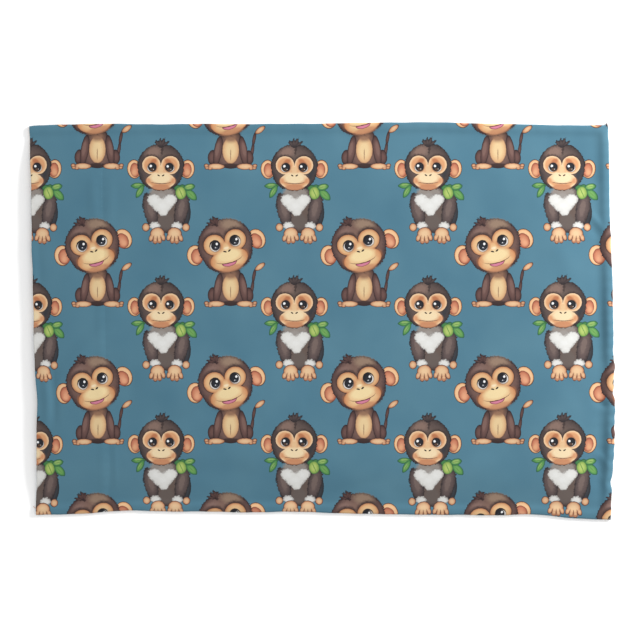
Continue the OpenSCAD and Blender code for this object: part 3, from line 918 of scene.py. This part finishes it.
# The two plies of a seam's allowance lie together on the back, from the roll at the seam inwards.
PLY_Z = CLOTH_T + 0.5
ROLL_IN = 1.2
ALONG_SIDE = (MOUTH + 3, HALF_L - 14)
upper_allowance = side_strip("upper_allowance", 1, *ALONG_SIDE, ROLL_IN, ALLOWANCE, PLY_Z, 2 * CLOTH_T)
lower_allowance = side_strip("lower_allowance", -1, *ALONG_SIDE, ROLL_IN, ALLOWANCE, PLY_Z, 2 * CLOTH_T)
end_allowance = end_strip("end_allowance", ROLL_IN, ALLOWANCE, PLY_Z, 2 * CLOTH_T)

# The care label's two ends are sewn into the lower seam, and it lies inwards from there.
LABEL_W, LABEL_OUT = 34.0, 25.0
label_at = HEM_LINE + 60
label = side_strip(
    "care_ribbon", -1, label_at, label_at + LABEL_W, ALLOWANCE + ROLL_IN, ALLOWANCE + LABEL_OUT,
    CLOTH_T + 0.35, CLOTH_T, 8,
)
label.data.materials[0] = RIBBON
label.data.materials[1] = RIBBON


# ---------------------------------------------------------------------------
# Rows of stitches, by Geometry Nodes
# ---------------------------------------------------------------------------
def stitch_tree(name, looped):
    """Sets one stitch, or one overlock loop, at even steps along a line."""
    tree = bpy.data.node_groups.new(name, "GeometryNodeTree")
    face = tree.interface
    face.new_socket("Line", in_out="INPUT", socket_type="NodeSocketGeometry")
    for label_text, size in (("Step", 0.003), ("Length", 0.0026), ("Thread", 0.0004), ("Slant", 0.06)):
        face.new_socket(label_text, in_out="INPUT", socket_type="NodeSocketFloat").default_value = size
    face.new_socket("Finish", in_out="INPUT", socket_type="NodeSocketMaterial")
    face.new_socket("Stitches", in_out="OUTPUT", socket_type="NodeSocketGeometry")
    given = add(tree, "NodeGroupInput").outputs
    path = add(tree, "GeometryNodeMeshToCurve", {0: given["Line"]}).outputs[0]
    evenly = add(tree, "GeometryNodeResampleCurve", {"Curve": path, "Length": given["Step"]}, mode="LENGTH")
    half = add(tree, MATH, {0: given["Length"], 1: 0.5}, operation="MULTIPLY").outputs[0]
    radius = add(tree, MATH, {0: given["Thread"], 1: 0.5}, operation="MULTIPLY").outputs[0]
    if looped:
        ring = add(tree, "GeometryNodeCurvePrimitiveCircle", {"Resolution": 8, "Radius": 1.0}).outputs[0]
        reach = add(tree, MATH, {0: half, 1: 1.5}, operation="MULTIPLY").outputs[0]
        size = add(tree, "ShaderNodeCombineXYZ", {0: half, 1: reach, 2: 1.0}).outputs[0]
        loop = add(tree, "GeometryNodeTransform", {"Geometry": ring, "Scale": size}).outputs[0]
        wire = add(tree, "GeometryNodeCurvePrimitiveCircle", {"Resolution": 5, "Radius": radius}).outputs[0]
        stitch = add(tree, "GeometryNodeCurveToMesh", {"Curve": loop, "Profile Curve": wire}).outputs[0]
    else:
        bead = add(tree, "GeometryNodeMeshUVSphere", {"Segments": 7, "Rings": 6, "Radius": 1.0}).outputs[0]
        size = add(tree, "ShaderNodeCombineXYZ", {0: half, 1: radius, 2: radius}).outputs[0]
        stitch = add(tree, "GeometryNodeTransform", {"Geometry": bead, "Scale": size}).outputs[0]
    tangent = add(tree, "GeometryNodeInputTangent").outputs[0]
    follow = {"axis": "X", "pivot_axis": "Z"}
    turn = add(tree, "FunctionNodeAlignRotationToVector", {"Vector": tangent}, **follow).outputs[0]
    wander = add(tree, "FunctionNodeRandomValue", {"Min": 0.85, "Max": 1.1, "Seed": 5}, data_type="FLOAT")
    uneven = {0: given["Slant"], 1: wander.outputs["Value"]}
    leaning = add(tree, MATH, uneven, operation="MULTIPLY").outputs[0]
    slant = add(tree, "ShaderNodeCombineXYZ", {2: leaning}).outputs[0]
    tilted = add(tree, "FunctionNodeRotateRotation", {0: turn, 1: slant}, rotation_space="LOCAL").outputs[0]
    placed = add(
        tree, "GeometryNodeInstanceOnPoints",
        {"Points": evenly.outputs[0], "Instance": stitch, "Rotation": tilted},
    ).outputs[0]
    real = add(tree, "GeometryNodeRealizeInstances", {0: placed}).outputs[0]
    smooth = add(tree, "GeometryNodeSetShadeSmooth", {0: real}).outputs[0]
    dyed = add(tree, "GeometryNodeSetMaterial", {"Geometry": smooth, "Material": given["Finish"]}).outputs[0]
    add(tree, "NodeGroupOutput", {0: dyed})
    return tree


LOCKSTITCH = stitch_tree("lockstitch row", False)
OVERLOCK = stitch_tree("overlock row", True)


def sewn(name, tree, runs, finish, **sizes):
    """A row of stitches along each run of points, as one plain mesh."""
    points, edges = [], []
    for run in runs:
        edges += [(len(points) + k, len(points) + k + 1) for k in range(len(run) - 1)]
        points += [tuple(c * MM for c in point) for point in run]
    mesh = bpy.data.meshes.new(name + " line")
    mesh.from_pydata(points, edges, [])
    guide = bpy.data.objects.new(name + " line", mesh)
    bpy.context.scene.collection.objects.link(guide)
    modifier = guide.modifiers.new("stitches", "NODES")
    modifier.node_group = tree
    wanted = {**{key.capitalize(): value for key, value in sizes.items()}, "Finish": finish}
    for item in tree.interface.items_tree:
        if item.in_out == "INPUT" and item.name in wanted:
            modifier[item.identifier] = wanted[item.name]
    ready = guide.evaluated_get(bpy.context.evaluated_depsgraph_get())
    made = bpy.data.meshes.new_from_object(ready)
    made.name = name
    piece = bpy.data.objects.new(name, made)
    bpy.context.scene.collection.objects.link(piece)
    bpy.data.objects.remove(guide)
    return piece


def line_over(u, v, height):
    """A line of points over the pattern."""
    u, v = np.broadcast_arrays(np.asarray(u, float), np.asarray(v, float))
    x, y = laid(u, v)
    return list(zip(x.tolist(), y.tolist(), np.broadcast_to(height, x.shape).tolist()))


stitch_u = HEM_LINE - STITCH_INSET
stitch_v = np.linspace(-HALF_W + 2.5, HALF_W - 2.5, 400)
hem_u = np.full_like(stitch_v, stitch_u)
hem_top = front_top(hem_u, stitch_v)
front_hem_stitches = sewn(
    "front_hem_stitches", LOCKSTITCH,
    [line_over(hem_u, stitch_v, hem_top + 0.06), line_over(hem_u, stitch_v, hem_top - 1.5)],
    SEWING_THREAD, step=0.0032, length=0.0029, thread=0.00055, slant=0.07,
)
back_hem_stitches = sewn(
    "back_hem_stitches", LOCKSTITCH, [line_over(hem_u, stitch_v * 0.985, np.full_like(stitch_v, 1.5))],
    SEWING_THREAD, step=0.0032, length=0.0029, thread=0.0005, slant=0.07,
)


def seam_run(side, start, stop, d, height):
    """A line along a side seam, this far in from it."""
    u = np.linspace(start, stop, 200)
    return line_over(u, np.full_like(u, side * (HALF_W - d)), np.full_like(u, height))


def end_run(d, height):
    """A line along the end seam, this far in from it."""
    v = np.linspace(-HALF_W + 4, HALF_W - 4, 200)
    return line_over(np.full_like(v, HALF_L - d), v, np.full_like(v, height))


OVER_PLIES = PLY_Z + CLOTH_T + 0.12
seam_rows = {}
for side, name in ((1, "upper"), (-1, "lower")):
    seam_rows[name] = sewn(
        name + "_seam_stitches", LOCKSTITCH, [seam_run(side, MOUTH + 18, HALF_L - 4, 2.2, OVER_PLIES)],
        SEWING_THREAD, step=0.003, length=0.0026, thread=0.0004, slant=0.05,
    )
    cut_edge = seam_run(side, MOUTH + 3, HALF_L - 15, ALLOWANCE - 0.4, PLY_Z + 0.1)
    seam_rows[name + " overlock"] = sewn(
        name + "_overlock_loops", OVERLOCK, [cut_edge], OVERLOCK_THREAD,
        step=0.0026, length=0.0024, thread=0.0004, slant=0.5,
    )
    steps = np.arange(12)
    tack_v = side * (HALF_W - 2.2 - 1.5 * (steps % 2))
    zigzag = line_over(MOUTH + 3 + steps * 10 / 11, tack_v, np.full(12, OVER_PLIES + 0.1))
    seam_rows[name + " tack"] = sewn(
        name + "_mouth_backtack", LOCKSTITCH, [zigzag], SEWING_THREAD,
        step=0.0016, length=0.0018, thread=0.00045, slant=0.0,
    )
seam_rows["end"] = sewn(
    "end_seam_stitches", LOCKSTITCH, [end_run(2.2, OVER_PLIES)],
    SEWING_THREAD, step=0.003, length=0.0026, thread=0.0004, slant=0.05,
)
seam_rows["end overlock"] = sewn(
    "end_overlock_loops", OVERLOCK, [end_run(ALLOWANCE - 0.4, PLY_Z + 0.1)],
    OVERLOCK_THREAD, step=0.0026, length=0.0024, thread=0.0004, slant=0.5,
)


def make_thread_end():
    """A loose end of the side seam's thread, out of the mouth at its lower corner."""
    corner_x, corner_y = laid(MOUTH, -HALF_W)
    curve = bpy.data.curves.new("loose_thread_end", "CURVE")
    curve.dimensions = "3D"
    curve.bevel_depth = 0.00028
    curve.bevel_resolution = 2
    curve.use_fill_caps = True
    spline = curve.splines.new("POLY")
    path = [
        (1.5, 8.2, 1.1), (0.2, 8.6, 1.2), (-1.0, 9.4, 1.3), (-2.2, 9.5, 1.2), (-3.2, 10.4, 1.0),
        (-3.6, 11.4, 0.8),
    ]
    spline.points.add(len(path) - 1)
    for point, (x, y, z) in zip(spline.points, path):
        point.co = ((corner_x + x) * MM, (corner_y + y) * MM, z * MM, 1)
        point.radius = 1.0
    guide = bpy.data.objects.new("loose_thread_end guide", curve)
    bpy.context.scene.collection.objects.link(guide)
    made = bpy.data.meshes.new_from_object(guide.evaluated_get(bpy.context.evaluated_depsgraph_get()))
    bpy.data.objects.remove(guide)
    made.materials.append(TAN_THREAD)
    piece = bpy.data.objects.new("loose_thread_end", made)
    bpy.context.scene.collection.objects.link(piece)
    return piece


thread_end = make_thread_end()

# ---------------------------------------------------------------------------
# Bodies, frame parts and finishes
# ---------------------------------------------------------------------------
PARTS = [
    (front, "printed_cloth", ["front_panel"]),
    (back, "printed_cloth", ["back_panel", "back_hem_facing"]),
    (upper_allowance, "cloth_reverse", ["top_seam_allowance"]),
    (lower_allowance, "cloth_reverse", ["bottom_seam_allowance"]),
    (end_allowance, "cloth_reverse", ["end_seam_allowance"]),
    (label, "label_satin", ["care_label"]),
    (back_hem_stitches, "sewing_thread", ["back_hem_stitch"]),
    (seam_rows["upper"], "sewing_thread", ["top_seam_stitch"]),
    (seam_rows["lower"], "sewing_thread", ["bottom_seam_stitch"]),
    (seam_rows["end"], "sewing_thread", ["end_seam_stitch"]),
    (seam_rows["upper tack"], "sewing_thread", ["top_mouth_tack"]),
    (seam_rows["lower tack"], "sewing_thread", ["bottom_mouth_tack"]),
    (seam_rows["upper overlock"], "overlock_thread", ["top_overlock"]),
    (seam_rows["lower overlock"], "overlock_thread", ["bottom_overlock"]),
    (seam_rows["end overlock"], "overlock_thread", ["end_overlock"]),
    (thread_end, "tan_thread", ["mouth_thread_tail"]),
]
for piece, finish, nodes in PARTS:
    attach(piece, "case")
    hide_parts(*nodes)


def lift_blend(piece):
    """Bakes the piece's place into its own mesh."""
    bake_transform(piece)


lift_blend(hem_middle)
lift_blend(front_hem_stitches)
for piece, v_line, side in ((hem_lower, lens_low, -1), (hem_upper, lens_high, 1)):
    lift_blend(piece)
for piece in (hem_lower, hem_middle, hem_upper):
    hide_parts("front_hem_band", "front_hem_facing")
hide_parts("front_hem_stitch")

# ---------------------------------------------------------------------------
# Floor, light and camera
# ---------------------------------------------------------------------------
FLOOR_HALF = 6.0
# The floor is a hair under the case, so that the two never share a surface.
FLOOR_Z = -0.0001
floor_mesh = bpy.data.meshes.new("floor")
floor_corners = [(x * FLOOR_HALF, y * FLOOR_HALF, FLOOR_Z) for x, y in ((-1, -1), (1, -1), (1, 1), (-1, 1))]
floor_mesh.from_pydata(floor_corners, [], [(0, 1, 2, 3)])
floor_mesh.materials.append(FLOOR_PAINT)
floor = bpy.data.objects.new("floor", floor_mesh)
bpy.context.scene.collection.objects.link(floor)


def soft_box(name, place, target, size, power):
    """A square studio light that faces a point."""
    light = bpy.data.lights.new(name, "AREA")
    light.shape = "SQUARE"
    light.size = size
    light.energy = power
    lamp = bpy.data.objects.new(name, light)
    lamp.location = place
    lamp.visible_camera = False
    lamp.rotation_euler = (Vector(target) - Vector(place)).to_track_quat("-Z", "Y").to_euler()
    bpy.context.scene.collection.objects.link(lamp)
    return lamp


soft_box("low box, upper right", (1.7, 1.05, 0.72), (0, 0, 0), 0.52, 70)
soft_box("overhead box", (0.05, 0.2, 1.1), (0.05, 0.2, 0), 1.0, 1)

world = bpy.data.worlds.new("studio")
world.use_nodes = True
white_tent = world.node_tree.nodes["Background"]
white_tent.inputs["Color"].default_value = (1, 1, 1, 1)
white_tent.inputs["Strength"].default_value = 0.85
bpy.context.scene.world = world
bpy.context.scene.view_settings.view_transform = "Standard"

# The camera looks straight down from far off, and takes in this width at the height of the case's top.
FRAME_W, CASE_TOP = 0.8425, 0.008
camera_data = bpy.data.cameras.new("camera")
camera_data.sensor_width = 36
camera_data.lens = 120
camera = bpy.data.objects.new("camera", camera_data)
camera.location = (0.0013, -0.0013, CASE_TOP + FRAME_W * camera_data.lens / camera_data.sensor_width)
bpy.context.scene.collection.objects.link(camera)
bpy.context.scene.camera = camera
